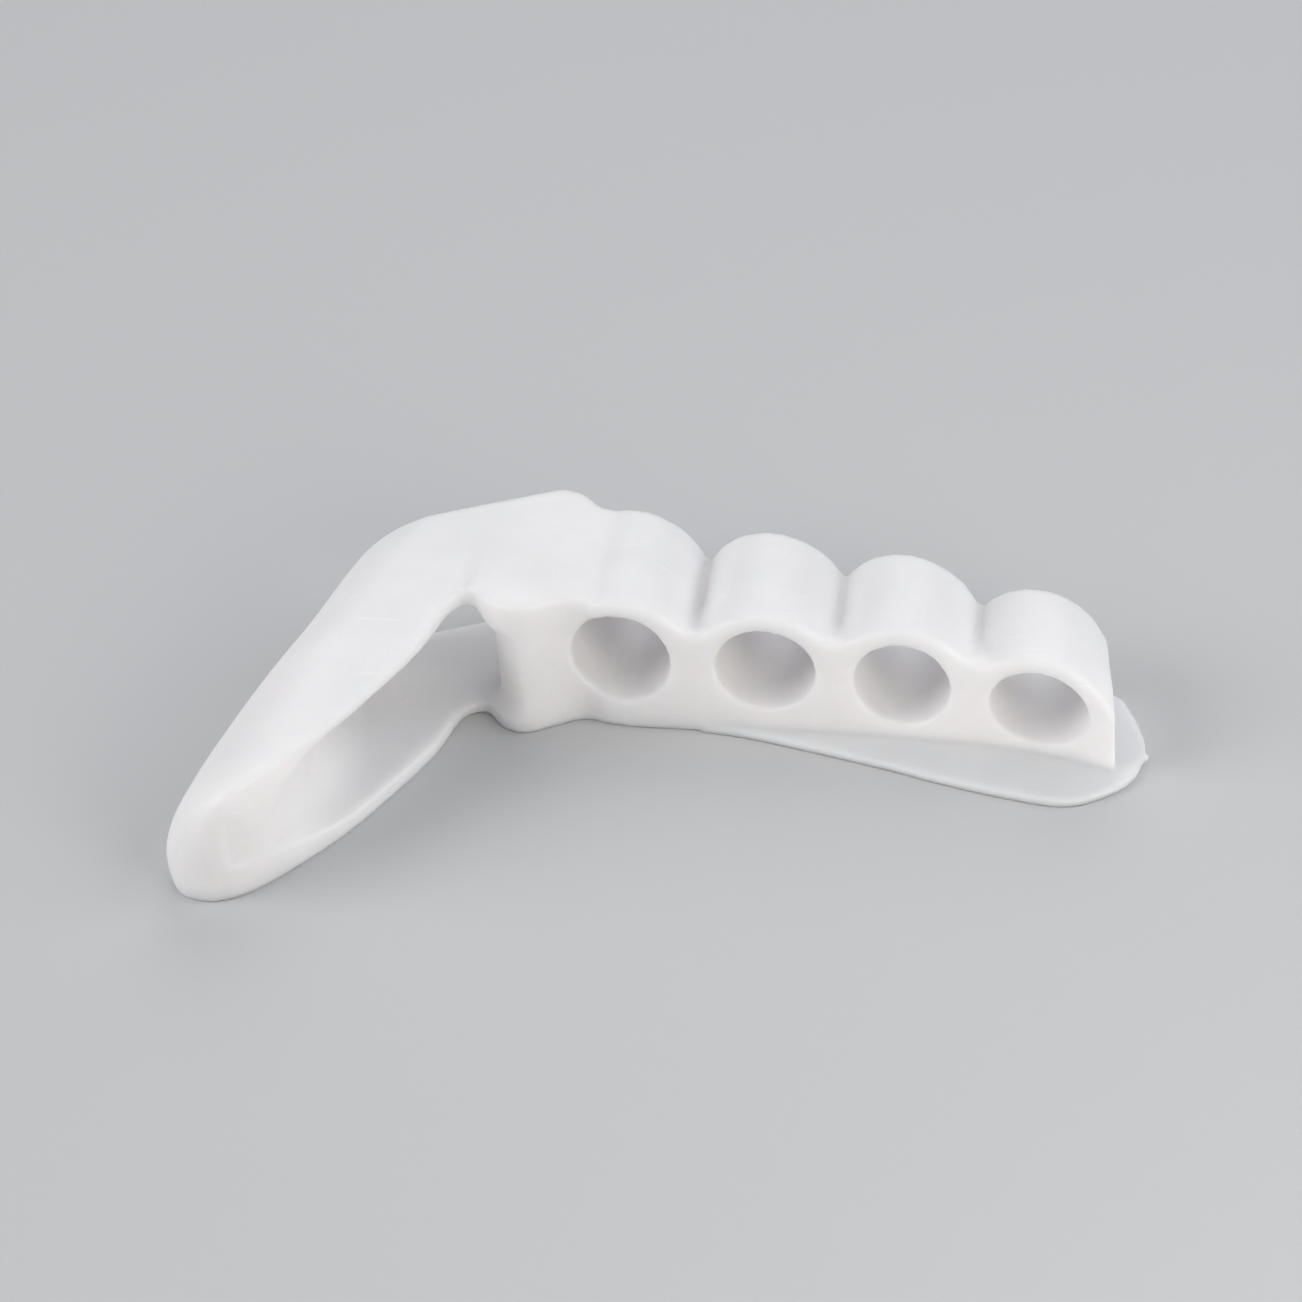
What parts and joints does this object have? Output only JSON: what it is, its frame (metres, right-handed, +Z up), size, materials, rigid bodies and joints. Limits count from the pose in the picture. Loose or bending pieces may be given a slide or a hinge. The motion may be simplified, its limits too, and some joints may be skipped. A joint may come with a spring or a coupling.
{
  "type": "toe separator",
  "caption": "Soft moulded toe separator: open sleeves for each toe on a thin sole sheet, joined to a half-open guard that cups the side of the big-toe joint.",
  "frame": {"origin": "centre of the bounding box at its base, on the surface that the sole lies on", "axes": "+X across the toes from the big toe to the little toe, +Y towards the toe tips, +Z up from the sole"},
  "size_m": [0.1068, 0.057, 0.0181],
  "materials": {
    "silicone": "milky translucent silicone, satin moulded surface"
  },
  "bodies": {
    "root": {"toe_separator": "silicone"}
  },
  "joints": []
}
